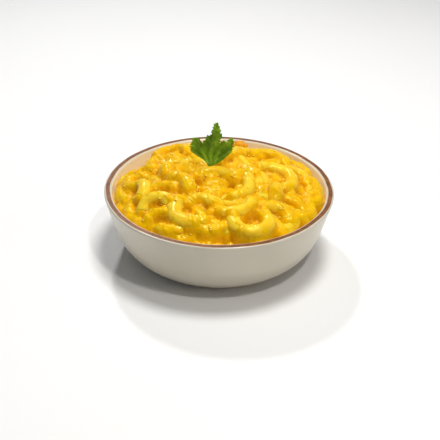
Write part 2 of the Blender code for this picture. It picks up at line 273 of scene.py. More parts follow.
def bowl_profile():
    """Half section from the middle of the underside, up the outer wall, over the rim and down
    the inside to the middle of the floor; and 1 for each of its points inside the bowl."""
    inner_foot = FOOT_RADIUS - FOOT_WIDTH
    under = [(r, UNDERSIDE_LEVEL) for r in np.linspace(4.0, inner_foot - 1.4, 8)]
    foot = [(inner_foot - 0.5, 1.4), (inner_foot, FOOT_EDGE), (inner_foot + FOOT_EDGE, 0.0),
            (FOOT_RADIUS - FOOT_EDGE, 0.0), (FOOT_RADIUS - 0.1, 0.15), (FOOT_RADIUS, FOOT_EDGE),
            (FOOT_RADIUS, FOOT_HEIGHT)]
    outer = shoulder_points(0.0, FOOT_HEIGHT + 0.3, 26)
    rim = rim_points()
    leg = np.linspace(0.08, 0.98, 14)[:, None]
    inner = shoulder_points(WALL_THICKNESS, FLOOR_LEVEL + 0.4, 20)[::-1]
    outer_leg = outer[-1] + (rim[0] - outer[-1]) * leg
    inner_leg = rim[-1] + (inner[0] - rim[-1]) * leg
    floor = [(r, FLOOR_LEVEL) for r in np.linspace(inner[-1, 0] - 3.0, 4.0, 8)]
    outside = np.concatenate([under, foot, outer, outer_leg, rim[:-4]])
    within = np.concatenate([rim[-4:], inner_leg, inner, floor])
    return np.concatenate([outside, within]), np.arange(len(outside) + len(within)) >= len(outside)


def turned_bowl(segments=200):
    """Turns the half section about Z, with a slight hand-made waver."""
    profile, within = bowl_profile()
    turn = np.arange(segments) * 2.0 * math.pi / segments
    r, z = profile[:, :1], profile[:, 1:]
    share = np.clip(z / BOWL_HEIGHT, 0.0, 1.0)
    waver = 0.04 * share * (np.sin(2.0 * turn + 0.7) + 0.5 * np.sin(5.0 * turn + 2.0))
    lift = 0.04 * share * (np.sin(3.0 * turn + 1.1) - 1.5)
    points = turned(r + waver, turn, z + lift)
    rows = len(profile)
    count = rows * segments
    points = np.concatenate([points.reshape(-1, 3), [(0, 0, UNDERSIDE_LEVEL), (0, 0, FLOOR_LEVEL)]])
    quads = ring_quads(rows, segments)[..., ::-1]
    ends = np.concatenate([fan(count, 0, segments, False),
                           fan(count + 1, count - segments, segments, True)])
    piece = add_mesh("bowl_glazed", points, quads, ends)
    add_values(piece, "within", np.concatenate([np.repeat(within, segments), [False, True]]))
    return piece


def inner_radius(z):
    """Radius of the bowl's inner wall at a height."""
    arc = shoulder_points(WALL_THICKNESS, FLOOR_LEVEL + 0.4, 24)
    straight = arc[-1, 0] + (z - arc[-1, 1]) * math.tan(WALL_LEAN)
    return np.where(z > arc[-1, 1], straight, np.interp(z, arc[:, 1], arc[:, 0]))


# ---- heap

def dome_height(x, y):
    """Smooth height of the heap: edge + (top - edge)(1 - share^power), the edge set by side,
    less a hollow along the back of the wall."""
    radius = np.hypot(x, y)
    turn = np.arctan2(y, x)
    front_back = np.where(np.sin(turn) < 0.0, EDGE_FRONT, EDGE_BACK)
    left_right = np.where(np.cos(turn) < 0.0, EDGE_LEFT, EDGE_RIGHT)
    edge = front_back * np.sin(turn) ** 2 + left_right * np.cos(turn) ** 2
    share = np.clip(radius / DOME_RADIUS, 0.0, 1.0)
    height = edge + (DOME_TOP - edge) * (1.0 - share ** DOME_POWER)
    step = np.clip((radius - BACK_HOLLOW_START) / BACK_HOLLOW_RUN, 0.0, 1.0)
    back = np.clip(np.sin(turn), 0.0, 1.0) ** 2
    return height - BACK_HOLLOW * back * step * step * (3.0 - 2.0 * step)


MAP_AXIS = np.arange(-MAP_HALF, MAP_HALF + 0.01, MAP_STEP)
MAP_X, MAP_Y = np.meshgrid(MAP_AXIS, MAP_AXIS, indexing="ij")


def read_map(height, x, y):
    """Height map read between its points, bilinearly."""
    u = np.clip((x + MAP_HALF) / MAP_STEP, 0.0, len(MAP_AXIS) - 1.001)
    v = np.clip((y + MAP_HALF) / MAP_STEP, 0.0, len(MAP_AXIS) - 1.001)
    i, j = u.astype(int), v.astype(int)
    s, t = u - i, v - j
    low = height[i, j] * (1.0 - s) + height[i + 1, j] * s
    high = height[i, j + 1] * (1.0 - s) + height[i + 1, j + 1] * s
    return low * (1.0 - t) + high * t


def blur(height, size):
    """Gaussian blur of a height map, one axis after the other."""
    reach = int(math.ceil(2.5 * size / MAP_STEP))
    step = np.arange(-reach, reach + 1)
    weight = np.exp(-0.5 * (step * MAP_STEP / size) ** 2)
    weight /= weight.sum()
    for axis in (0, 1):
        pad = [(reach, reach) if a == axis else (0, 0) for a in (0, 1)]
        wide = np.pad(height, pad, mode="edge")
        span = height.shape[axis]
        height = sum(w * np.take(wide, range(k, k + span), axis=axis)
                     for k, w in enumerate(weight))
    return height


def rolled(height, radius):
    """Fills every hollow that a ball of this radius can't touch, and leaves the crests alone."""
    reach = int(radius / MAP_STEP)
    ball = [(i, j, math.sqrt(max(radius ** 2 - (i * i + j * j) * MAP_STEP ** 2, 0.0)))
            for i in range(-reach, reach + 1) for j in range(-reach, reach + 1)
            if (i * i + j * j) * MAP_STEP ** 2 <= radius ** 2]
    raised = np.full_like(height, -FAR)
    for i, j, lift in ball:
        raised = np.maximum(raised, np.roll(height, (i, j), (0, 1)) + lift)
    lowered = np.full_like(height, FAR)
    for i, j, lift in ball:
        lowered = np.minimum(lowered, np.roll(raised, (i, j), (0, 1)) - lift)
    return lowered


def eased(height, slope, reach_mm):
    """Lays a slope against every cliff, no steeper than this, as thick sauce clings to it."""
    reach = int(reach_mm / MAP_STEP)
    raised = height.copy()
    for i in range(-reach, reach + 1):
        for j in range(-reach, reach + 1):
            away = math.hypot(i, j) * MAP_STEP
            if 0.0 < away <= reach_mm:
                raised = np.maximum(raised, np.roll(height, (i, j), (0, 1)) - slope * away)
    return raised


def dome_tilt(x, y, share):
    """Turn that lays a flat elbow along a share of the dome's slope."""
    slope_x = float(dome_height(x + 1.0, y) - dome_height(x - 1.0, y)) / 2.0 * share
    slope_y = float(dome_height(x, y + 1.0) - dome_height(x, y - 1.0)) / 2.0 * share
    normal = Vector((-slope_x, -slope_y, 1.0)).normalized()
    return np.array(Vector((0, 0, 1)).rotation_difference(normal).to_matrix())


def elbow_turn(heading, pitch, roll):
    """Turn of an elbow: roll about its middle direction, then pitch up, then heading."""
    turn = Matrix.Rotation(heading, 3, "Z") @ Matrix.Rotation(-pitch, 3, "Y")
    return np.array(turn @ Matrix.Rotation(roll, 3, "X"))


def new_elbow(centre, turn, bend, half_turn, tube, bare):
    return {"centre": np.array(centre, float), "turn": turn, "bend": bend,
            "half_turn": half_turn, "tube": tube, "bare": bare}


def elbow_path(elbow, count):
    """Centreline: bend (cos a, sin a, 0) for a from -half turn to half turn, turned and placed."""
    angle = np.linspace(-elbow["half_turn"], elbow["half_turn"], count)
    flat = np.stack([np.cos(angle), np.sin(angle), np.zeros(count)], 1) * elbow["bend"]
    return flat @ elbow["turn"].T + elbow["centre"]


def elbow_top(elbow, x, y, count=26):
    """Upper side of the tube over each place: the highest of the balls along its centreline."""
    path = elbow_path(elbow, count)
    gap2 = (x[..., None] - path[:, 0]) ** 2 + (y[..., None] - path[:, 1]) ** 2
    rise = elbow["tube"] ** 2 - gap2
    top = np.where(rise > 0.0, path[:, 2] + np.sqrt(np.clip(rise, 0.0, None)), -FAR)
    return top.max(axis=-1)


def window(elbow):
    """Part of the height map that an elbow can reach."""
    path = elbow_path(elbow, 9)
    low = path[:, :2].min(0) - elbow["tube"] - 1.5
    high = path[:, :2].max(0) + elbow["tube"] + 1.5
    i0, j0 = np.clip(((low + MAP_HALF) / MAP_STEP).astype(int), 0, len(MAP_AXIS) - 2)
    i1, j1 = np.clip(((high + MAP_HALF) / MAP_STEP).astype(int) + 1, 1, len(MAP_AXIS))
    return slice(i0, i1), slice(j0, j1)


def lay_on_map(height, elbow):
    part = window(elbow)
    top = elbow_top(elbow, MAP_X[part], MAP_Y[part])
    height[part] = np.maximum(height[part], top)


def underside(elbow, count=13):
    """Sample points of the tube's underside: places in plan and heights."""
    path = elbow_path(elbow, count)
    run = np.gradient(path[:, :2], axis=0)
    run /= np.linalg.norm(run, axis=1, keepdims=True) + 1e-6
    side = np.stack([-run[:, 1], run[:, 0]], 1)
    share = np.linspace(-0.85, 0.85, 5)
    place = path[:, None, :2] + side[:, None] * (share[:, None] * elbow["tube"])
    low = path[:, None, 2] - elbow["tube"] * np.sqrt(1.0 - share ** 2)
    return place.reshape(-1, 2), low.reshape(-1)


def wall_excess(elbow):
    """How far an elbow would reach past the bowl's inner wall."""
    path = elbow_path(elbow, 9)
    reach = np.hypot(path[:, 0], path[:, 1]) + elbow["tube"]
    return float((reach - inner_radius(path[:, 2])).max()) + 0.2


def over_dome(elbow, count=9):
    """How far an elbow's upper side reaches above the dome."""
    path = elbow_path(elbow, count)
    return (path[:, 2] - dome_height(path[:, 0], path[:, 1])).max() + elbow["tube"]


def resting_height(height, elbow, sink):
    """Height at which an elbow settles on the heap when it sinks in by this much."""
    place, low = underside(elbow)
    return (read_map(height, place[:, 0], place[:, 1]) - low).max() - sink


def pull_inside(elbow):
    """Moves an elbow towards the middle until it clears the bowl's wall."""
    for _ in range(3):
        excess = max(wall_excess(elbow), 0.0)
        path = elbow_path(elbow, 9)
        far = path[np.hypot(path[:, 0], path[:, 1]).argmax(), :2]
        elbow["centre"][:2] -= far / np.hypot(*far) * excess


def drop_elbow(height, draw, x, y, sink):
    """Tries loose poses at a place and keeps the one that settles lowest on the heap."""
    best = None
    for _ in range(POSES_TRIED):
        pitch = draw.choice([0.0, 0.0, 0.0, 80.0]) + draw.normal(0.0, 16.0)
        turn = elbow_turn(draw.uniform(0, 2 * math.pi), math.radians(pitch),
                          math.radians(draw.normal(0.0, 16.0)))
        bend = ELBOW_BEND * draw.uniform(0.85, 1.2)
        half = math.radians(draw.uniform(68.0, 95.0))
        tube = ELBOW_TUBE * draw.uniform(0.92, 1.1)
        shift = turn @ np.array([bend * math.sin(half) / half, 0.0, 0.0])
        near = np.array([x, y]) + draw.normal(0.0, 1.8, 2) - shift[:2]
        elbow = new_elbow((near[0], near[1], 0.0), turn, bend, half, tube, draw.uniform(0.0, 0.7))
        elbow["centre"][2] = resting_height(height, elbow, sink)
        if wall_excess(elbow) > 0.0:
            continue
        level = over_dome(elbow)
        if best is None or level < best[0]:
            best = (level, elbow)
    return best


def fill_heap(height, draw, elbows, level, limit, most):
    """Drops elbows one by one into the lowest place left, until none is deeper than level. None
    may end higher than limit. Both are measured from the dome."""
    desired = dome_height(MAP_X, MAP_Y) + level
    inside = np.hypot(MAP_X, MAP_Y) < FILL_RADIUS
    skip = np.zeros_like(height, bool)
    for _ in range(most):
        lack = np.where(inside & ~skip, desired - height, -FAR)
        coarse = lack[::4, ::4] + draw.uniform(0.0, 2.0, lack[::4, ::4].shape)
        i, j = np.unravel_index(coarse.argmax(), coarse.shape)
        x, y = MAP_AXIS[i * 4], MAP_AXIS[j * 4]
        if lack[i * 4, j * 4] < 0.0:
            break
        best = drop_elbow(height, draw, x, y, LOOSE_SINK)
        if best is None or best[0] > limit:
            skip |= np.hypot(MAP_X - x, MAP_Y - y) < SKIP_RADIUS
            continue
        elbows.append(best[1])
        lay_on_map(height, best[1])


def front_elbow(laid, x, y, mid, turn, bend, tube, pitch, slope, lift, bare):
    """Elbow that lies on top: its highest point is lift above the dome, or a little more where
    it crosses elbows laid before it, and it stays inside the bowl's wall."""
    lie = dome_tilt(x, y, slope) @ elbow_turn(math.radians(mid), math.radians(pitch), 0.0)
    elbow = new_elbow((x, y, 0.0), lie, bend, math.radians(turn / 2.0), tube, bare)
    free = lift - over_dome(elbow)
    rest = resting_height(laid, elbow, CROSSING_SINK)
    elbow["centre"][2] = min(max(free, rest), free + CROSSING_LIFT)
    pull_inside(elbow)
    return elbow


def wedge_elbows(height, draw, elbows, depth, most):
    """Pushes an elbow into each hollow deeper than depth, so that only its upper side shows."""
    dome = dome_height(MAP_X, MAP_Y)
    open_place = np.hypot(MAP_X, MAP_Y) < WEDGE_RADIUS
    for _ in range(most):
        lack = np.where(open_place, dome - depth - height, -FAR)
        i, j = np.unravel_index(lack.argmax(), lack.shape)
        if lack[i, j] < 0.0:
            break
        x, y = MAP_X[i, j], MAP_Y[i, j]
        tube = ELBOW_TUBE * draw.uniform(0.88, 1.08)
        bend = ELBOW_BEND * draw.uniform(0.75, 1.1)
        pitch = draw.normal(8.0, 18.0)
        turn = elbow_turn(draw.uniform(0, 2 * math.pi), math.radians(pitch),
                          math.radians(draw.normal(0.0, 14.0)))
        turn = dome_tilt(x, y, 0.8) @ turn
        half = math.radians(draw.uniform(45.0, 85.0))
        middle = turn @ np.array([bend * math.cos(half * draw.uniform(-0.5, 0.5)), 0.0, 0.0])
        elbow = new_elbow((x - middle[0], y - middle[1], 0.0), turn, bend, half, tube,
                          draw.uniform(0.0, 0.8))
        elbow["centre"][2] = -over_dome(elbow, 15) - depth * draw.uniform(0.35, 0.85)
        pull_inside(elbow)
        elbows.append(elbow)
        lay_on_map(height, elbow)
        open_place &= np.hypot(MAP_X - x, MAP_Y - y) >= WEDGE_SPACING


def heap_of_elbows():
    """The loose elbows under the top, then the ones that lie on it, then what fills the gaps."""
    draw = np.random.default_rng(11)
    height = dome_height(MAP_X, MAP_Y) - CORE_DEPTH
    laid = np.zeros_like(height)
    elbows = []
    fill_heap(height, draw, elbows, level=-5.5, limit=-3.2, most=150)
    for row in FRONT_ELBOWS:
        elbow = front_elbow(laid, *row)
        elbows.append(elbow)
        lay_on_map(height, elbow)
        lay_on_map(laid, elbow)
    fill_heap(height, draw, elbows, level=-4.5, limit=-0.5, most=120)
    wedge_elbows(height, draw, elbows, depth=4.4, most=150)
    return elbows, height


def shows_above(elbow, crest):
    """Whether any of an elbow's upper side comes near the top of the sauce."""
    path = elbow_path(elbow, 15)
    return (path[:, 2] + elbow["tube"] - read_map(crest, path[:, 0], path[:, 1])).max() > -0.5


def macaroni(elbows, crest):
    """Hollow bent tubes: a ring of radius tube carried along each bend, turned in over each end
    and down the bore to where the sauce closes it. Elbows wholly under the sauce are left out."""
    draw = np.random.default_rng(5)
    elbows = [e for e in elbows if shows_above(e, crest)]
    number = len(elbows)
    bend = np.array([e["bend"] for e in elbows])[:, None]
    half = np.array([e["half_turn"] for e in elbows])[:, None]
    tube = np.array([e["tube"] for e in elbows])[:, None]
    wall = ELBOW_WALL * tube
    deep = np.stack([draw.uniform(*BORE_DEPTH, number) for _ in range(2)], 1)
    along = np.linspace(0.0, 1.0, ELBOW_ALONG)[None]
    length = 2.0 * half * bend
    lip = 0.45 * wall
    # distance along the bend and ring radius of every row, from one closed bore to the other
    first = [deep[:, :1], deep[:, :1] * 0.5, lip, lip * 0.25, lip * 0.0, lip * 0.3]
    last = [length - lip * 0.3, length - lip * 0.0, length - lip * 0.25, length - lip,
            length - deep[:, 1:] * 0.5, length - deep[:, 1:]]
    turned_in = [tube - wall * share for share in (1.0, 1.0, 1.0, 0.8, 0.45, 0.08)]
    body = lip + (length - 2.0 * lip) * along
    run = np.concatenate(first + [body] + last, axis=1)
    ring = np.concatenate(turned_in + [np.repeat(tube, ELBOW_ALONG, 1)] + turned_in[::-1], axis=1)
    rows = run.shape[1]
    bore = np.zeros((number, rows))
    bore[:, :3] = 1.0
    bore[:, -3:] = 1.0
    angle = run / bend - half
    around = np.arange(ELBOW_ROUND) * 2.0 * math.pi / ELBOW_ROUND
    out = np.stack([np.cos(angle), np.sin(angle), np.zeros_like(angle)], -1)
    path = out * bend[..., None]
    up = np.array([0.0, 0.0, 1.0])
    flatten = 1.0 - 0.05 * np.sin(angle * 2.0 + tube)[..., None, None]
    shape = (np.cos(around)[None, None, :, None] * out[:, :, None]
             + np.sin(around)[None, None, :, None] * up * flatten)
    points = path[:, :, None] + shape * ring[:, :, None, None]
    ends = path[:, [0, -1]]
    turn = np.stack([e["turn"] for e in elbows])
    centre = np.stack([e["centre"] for e in elbows])
    points = np.einsum("nrkj,nij->nrki", points, turn) + centre[:, None, None]
    ends = np.einsum("nrj,nij->nri", ends, turn) + centre[:, None]
    flow = np.einsum("nrkj,nij->nrki", shape, turn)
    points += flow * (0.16 * waves(points, 7.0, 3) * (1.0 - bore[..., None]))[..., None]
    per = rows * ELBOW_ROUND
    start = np.arange(number) * per
    quads = ring_quads(rows, ELBOW_ROUND)[None] + start[:, None, None, None]
    base = number * per
    tips = []
    for n in range(number):
        tips.append(fan(base + 2 * n, start[n], ELBOW_ROUND, True))
        tips.append(fan(base + 2 * n + 1, start[n] + per - ELBOW_ROUND, ELBOW_ROUND, False))
    everything = np.concatenate([points.reshape(-1, 3), ends.reshape(-1, 3)])
    piece = add_mesh("macaroni", everything, quads, np.concatenate(tips))
    bare = np.array([e["bare"] for e in elbows])
    add_values(piece, "bare", np.concatenate([np.repeat(bare, per), np.repeat(bare, 2)]))
    bores = np.repeat(bore[:, :, None], ELBOW_ROUND, 2).reshape(-1)
    add_values(piece, "bore", np.concatenate([bores, np.ones(2 * number)]))
    sunk = read_map(crest, everything[:, 0], everything[:, 1]) - everything[:, 2]
    add_values(piece, "sunk", np.clip(sunk / 6.0, 0.0, 1.0))
    return piece


def disc_grid(count):
    """Even grid on the unit disc: squares of side a become rings of radius a (concentric map)."""
    side = np.linspace(-1.0, 1.0, count)
    a, b = np.meshgrid(side, side, indexing="ij")
    big = np.abs(a) > np.abs(b)
    radius = np.where(big, a, b)
    safe = np.where(radius == 0.0, 1.0, radius)
    turn = np.where(big, (math.pi / 4.0) * b / safe, math.pi / 2.0 - (math.pi / 4.0) * a / safe)
    return radius * np.cos(turn), radius * np.sin(turn)


def border(count):
    """Indices of the outer points of a square grid, in order round it."""
    index = np.arange(count * count).reshape(count, count)
    return np.concatenate([index[:-1, 0], index[-1, :-1], index[:0:-1, -1], index[0, :0:-1]])


def sauce_heights(height, elbows):
    """Level of the sauce: hollows filled as a rolling ball leaves them, thin over the crests.
    Where the sauce lies rich the ball is bigger and the coat over the crests thicker."""
    plane = np.stack([MAP_X, MAP_Y], -1)
    rich = np.clip(0.35 + 0.35 * waves(plane, 34.0, 31) - MAP_X / 130.0, 0.0, 1.0)
    filled = rolled(height, THIN_BALL) * (1.0 - rich) + rolled(height, RICH_BALL) * rich
    low = blur(filled, 4.0) - 4.0 + 0.5 * waves(plane, 9.0, 32)
    filled = eased(np.maximum(filled, low), 3.2, 1.0)
    smooth = blur(filled, 0.45)
    patch = 0.15 + 0.35 * waves(plane, 15.0, 21) + 0.16 * waves(plane, 4.0, 22) + 0.25 * rich
    bare = np.zeros_like(height)
    for elbow in elbows:
        part = window(elbow)
        top = elbow_top(elbow, MAP_X[part], MAP_Y[part])
        bare[part] = np.where(top >= height[part] - 0.05, elbow["bare"], bare[part])
    coat = patch + 0.25 - 1.0 * blur(bare, 0.9)
    return smooth + np.clip(coat, *COAT)


def cheese_sauce(height, elbows, count=290):
    """One closed body: the sauce's upper side on an even disc grid, down the bowl's wall at the
    border, and closed over the floor. It fills the bowl and serves as the core of the heap."""
    level = sauce_heights(height, elbows)
    unit_x, unit_y = disc_grid(count)
    turn = np.arctan2(unit_y, unit_x)
    edge_x, edge_y = DOME_RADIUS * np.cos(turn), DOME_RADIUS * np.sin(turn)
    uneven = waves(np.stack([edge_x, edge_y], -1), 14.0, 33)
    edge_z = np.minimum(dome_height(edge_x, edge_y) + 0.2 + 0.8 * uneven, BOWL_HEIGHT - 1.0)
    reach = inner_radius(edge_z) + EDGE_IN_WALL
    x, y = unit_x * reach, unit_y * reach
    top = read_map(level, x, y)
    radius = np.hypot(unit_x, unit_y)
    rim_blend = np.clip((radius - 0.965) / 0.035, 0.0, 1.0) ** 2
    top = top * (1.0 - rim_blend) + edge_z * rim_blend
    points = np.stack([x, y, top], -1).reshape(-1, 3)
    index = np.arange(count * count).reshape(count, count)
    quads = np.stack([index[:-1, :-1], index[1:, :-1], index[1:, 1:], index[:-1, 1:]], -1)
    edge = border(count)
    rows = [points[edge]]
    for share in (0.35, 0.7, 1.0):
        z = rows[0][:, 2] + (FLOOR_LEVEL + 1.5 - rows[0][:, 2]) * share
        r = inner_radius(z) + SIDE_IN_WALL
        way = np.arctan2(rows[0][:, 1], rows[0][:, 0])
        rows.append(turned(r, way, z))
    side = np.concatenate(rows[1:])
    ring = len(edge)
    total = count * count
    k = np.arange(ring)
    nxt = (k + 1) % ring
    lines = [edge] + [total + ring * i + k for i in range(3)]
    walls = [np.stack([a, b, b[nxt], a[nxt]], -1) for a, b in zip(lines[:-1], lines[1:])]
    bottom = np.array([[0.0, 0.0, FLOOR_LEVEL + 0.6]])
    everything = np.concatenate([points, side, bottom])
    close = fan(len(everything) - 1, total + ring * 2, ring, True)
    faces = np.concatenate([quads.reshape(-1, 4)] + walls)
    piece = add_mesh("cheese_sauce", everything, faces, close)
    thick = read_map(level - height, everything[:, 0], everything[:, 1])
    hollow = read_map(blur(level, 3.0) - level, everything[:, 0], everything[:, 1])
    add_values(piece, "thick", np.clip(thick, 0.0, 4.0) / 4.0)
    add_values(piece, "hollow", np.clip(hollow / 2.4, -1.0, 1.0))
    return piece, level


def small_lumps(name, places, sizes, lifts, level, seed, tall=1.0):
    """Small soft lumps half sunk in the sauce: balls of five rings and two poles, each stretched
    its own way and uneven on the outside."""
    draw = np.random.default_rng(seed)
    number, rings, around = len(places), 5, 10
    polar = np.linspace(0.42, math.pi - 0.42, rings)[:, None]
    turn = np.arange(around) * 2.0 * math.pi / around
    unit = turned(np.sin(polar), turn, np.cos(polar)).reshape(-1, 3)
    unit = np.concatenate([unit, [(0.0, 0.0, 1.0), (0.0, 0.0, -1.0)]])
    stretch = draw.uniform(0.7, 1.35, (number, 1, 3))
    spin = draw.uniform(0.0, 2.0 * math.pi, (number, 1))
    ball = unit[None] * stretch * (1.0, 1.0, tall) * sizes[:, None, None]
    x = ball[..., 0] * np.cos(spin) - ball[..., 1] * np.sin(spin)
    y = ball[..., 0] * np.sin(spin) + ball[..., 1] * np.cos(spin)
    z = read_map(level, places[:, 0], places[:, 1]) + lifts
    points = np.stack([x + places[:, :1], y + places[:, 1:], ball[..., 2] + z[:, None]], -1)
    rough = waves(points / sizes[:, None, None], 1.6, seed + 1)
    points += (points - points.mean(1, keepdims=True)) * (0.16 * rough)[..., None]
    start = (np.arange(number) * len(unit))[:, None]
    quads = ring_quads(rings, around).reshape(1, -1, 4) + start[..., None]
    top = fan(rings * around, 0, around, True)
    low = fan(rings * around + 1, (rings - 1) * around, around, False)
    ends = np.concatenate([top, low])[None] + start[..., None]
    return add_mesh(name, points.reshape(-1, 3), quads.reshape(-1, 4), ends.reshape(-1, 3))


def cheese_crumbs(level):
    draw = np.random.default_rng(17)
    places = np.repeat(np.array(CRUMB_PLACES, float), CRUMBS_AT_PLACE, 0)
    places += draw.normal(0.0, CRUMB_SPREAD, places.shape)
    turn = draw.uniform(0.0, 2.0 * math.pi, LOOSE_CRUMBS)
    reach = 66.0 * np.sqrt(draw.uniform(0.0, 1.0, LOOSE_CRUMBS))
    loose = np.stack([reach * np.cos(turn), reach * np.sin(turn)], 1)
    places = np.concatenate([places, loose])
    sizes = draw.uniform(*CRUMB_SIZE, len(places))
    lifts = np.full(len(places), 0.02)
    return small_lumps("cheese_crumbs", places, sizes, lifts, level, 18, CRUMB_TALL)


def cheese_bits(level):
    bits = np.array(CHEESE_BITS)
    return small_lumps("melted_cheese_bits", bits[:, :2], bits[:, 2], bits[:, 3], level, 40)


# ---- leaf

LEAF_FOOT = (-6.2, -1.5)
LEAF_LEAN = math.radians(15.0)
LEAF_THICKNESS = 0.35
TOOTH_LENGTH = 2.3
TOOTH_DEPTH = 1.05
# The blade's outline as drawn from its stalk round to it again, anticlockwise; the scale then
# narrows and shortens it to its size. The stalk goes into the heap.
LEAF_SCALE = (0.962, 0.94)
LEAF_BLADE = (
    (1.8, 0.6), (4.6, 1.7), (7.4, 3.4), (10.2, 5.7), (13.1, 8.7), (15.4, 11.8), (14.0, 12.1),
    (16.1, 14.2), (14.7, 14.8), (16.0, 16.5), (15.4, 18.5), (14.8, 20.3), (13.1, 19.6),
    (11.7, 18.5), (11.2, 16.0), (10.2, 17.5), (8.6, 18.1), (7.2, 17.0), (6.0, 15.8), (6.7, 18.5),
    (8.1, 20.7), (7.5, 22.5), (6.7, 23.1), (7.0, 25.3), (6.0, 26.8), (5.5, 29.0), (3.8, 30.6),
    (2.3, 29.0), (1.6, 26.7), (1.8, 25.1), (0.5, 24.9), (1.0, 22.9), (0.0, 21.2), (-1.7, 21.5),
    (-2.9, 20.2), (-3.0, 18.5), (-4.3, 17.5), (-5.3, 15.5), (-6.1, 16.8), (-6.6, 18.5),
    (-7.4, 19.5), (-8.6, 19.1), (-11.5, 19.8), (-12.3, 17.5), (-11.7, 16.5), (-13.3, 15.5),
    (-12.1, 14.3), (-13.8, 13.1), (-12.3, 12.5), (-13.5, 11.0), (-10.9, 8.4), (-7.6, 6.1),
    (-4.9, 4.6), (-2.4, 2.1),
)
LEAF_STALK = (((0.7, -2.4), (0.8, -0.2)), ((-0.8, -0.2), (-0.6, -2.4)))
LEAF_VEINS = (
    ((0.0, -1.0), (3.7, 30.7)), ((0.4, 3.0), (14.5, 20.5)), ((-0.2, 3.0), (-11.6, 19.2)),
    ((0.4, 2.0), (15.2, 11.4)), ((-0.2, 2.0), (-13.2, 11.2)), ((1.6, 13.0), (8.6, 18.0)),
    ((1.6, 13.0), (-2.4, 21.0)), ((2.4, 20.0), (7.6, 22.8)), ((2.6, 22.0), (0.6, 24.8)),
    ((-6.6, 12.0), (-7.8, 19.2)), ((8.4, 12.6), (15.6, 14.8)), ((-6.9, 12.2), (-13.2, 14.4)),
)


def leaf_outline():
    """The blade scaled to its size, to tenths of a millimetre, with the stalk's two sides."""
    wide, tall = LEAF_SCALE
    blade = [(round(x * wide, 1), round(y * tall, 1)) for x, y in LEAF_BLADE]
    return np.array([*LEAF_STALK[0], *blade, *LEAF_STALK[1]])


def softened(points):
    """Cuts the corners of a closed outline, a fifth from each end of every side."""
    ahead = np.roll(points, -1, axis=0)
    cut = np.stack([0.8 * points + 0.2 * ahead, 0.2 * points + 0.8 * ahead], 1)
    return cut.reshape(-1, 2)


def serrated(outline):
    """Saw teeth round the lobes, each rising slowly and falling sharply towards the tip, on an
    outline divided into even steps."""
    ahead = np.roll(outline, -1, axis=0)
    length = np.hypot(*(ahead - outline).T)
    walk = np.concatenate([[0.0], np.cumsum(length)])
    spots = np.arange(0.0, walk[-1], 0.42)
    closed = np.concatenate([outline, outline[:1]])
    x, y = np.interp(spots, walk, closed[:, 0]), np.interp(spots, walk, closed[:, 1])
    run = np.stack([np.roll(x, -1) - np.roll(x, 1), np.roll(y, -1) - np.roll(y, 1)], 1)
    run /= np.linalg.norm(run, axis=1, keepdims=True)
    tooth = (spots / TOOTH_LENGTH + 0.35 * np.sin(spots / 5.0)) % 1.0
    tooth = np.where(x > 3.0, tooth, 1.0 - tooth)
    push = TOOTH_DEPTH * (tooth - 0.45) * np.clip((y - 9.0) / 3.0, 0.0, 1.0)
    return np.stack([x + run[:, 1] * push, y - run[:, 0] * push], 1)


def vein_gap(points):
    """Distance of each leaf point from the nearest vein."""
    gap = np.full(len(points), FAR)
    for start, end in LEAF_VEINS:
        a, b = np.array(start), np.array(end)
        share = np.clip(((points - a) @ (b - a)) / ((b - a) @ (b - a)), 0.0, 1.0)
        away = points - a - share[:, None] * (b - a)
        gap = np.minimum(gap, np.hypot(away[:, 0], away[:, 1]))
    return gap


def parsley_leaf():
    """Leaf blade: the outline filled with fine triangles, curled, grooved at the veins and
    quilted between them, leaning back from its foot in the heap."""
    outline = serrated(softened(leaf_outline()))
    count = len(outline)
    step = 0.55
    grid = np.stack(np.meshgrid(np.arange(-14.5, 16.6, step), np.arange(-2.5, 31.0, step)), -1)
    grid = grid.reshape(-1, 2) + np.random.default_rng(3).uniform(-0.1, 0.1, (grid.size // 2, 2))
    rim = [(k, (k + 1) % count) for k in range(count)]
    flat = [Vector(p) for p in outline] + [Vector(p) for p in grid]
    filled = delaunay_2d_cdt(flat, rim, [], 1, 1e-4)
    places = np.array([tuple(p) for p in filled[0]])
    faces = np.array([f for f in filled[2] if len(f) == 3])
    used, faces = np.unique(faces, return_inverse=True)
    faces = faces.reshape(-1, 3)
    places = places[used]
    x, y = places[:, 0], places[:, 1]
    gap = vein_gap(places)
    curl = -0.0055 * x * x + 0.9 * np.sin(y / 5.0)
    groove = -0.28 * np.exp(-(gap / 0.45) ** 2) + 0.22 * np.clip(gap / 2.0, 0.0, 1.0)
    ruffle = 0.22 * waves(places, 6.0, 8) * np.clip(np.hypot(x, y - 10.0) / 14.0, 0.0, 1.0)
    back = curl + ruffle - groove
    rise = y * math.cos(LEAF_LEAN) - back * math.sin(LEAF_LEAN)
    away = y * math.sin(LEAF_LEAN) + back * math.cos(LEAF_LEAN)
    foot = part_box("parsley")[0].z / MM + 0.4
    points = np.stack([LEAF_FOOT[0] + x, LEAF_FOOT[1] + away, foot + rise], -1)
    a, b, c = (points[faces[:, k]] for k in range(3))
    if np.cross(b - a, c - a)[:, 1].mean() > 0.0:
        faces = faces[:, ::-1]
    piece = add_mesh("parsley_leaf", points, np.zeros((0, 4), int), faces)
    add_values(piece, "vein", np.exp(-(gap / 0.40) ** 2))
    angle = np.arctan2(x - 0.5, y + 4.0)
    add_values(piece, "streak", 0.5 + 0.5 * np.sin(angle * 17.0 + 1.5 * np.sin(y / 4.0)))
    solid = piece.modifiers.new("thickness", "SOLIDIFY")
    solid.thickness = LEAF_THICKNESS * MM
    solid.offset = 0.0
    return piece


# ---- finishes

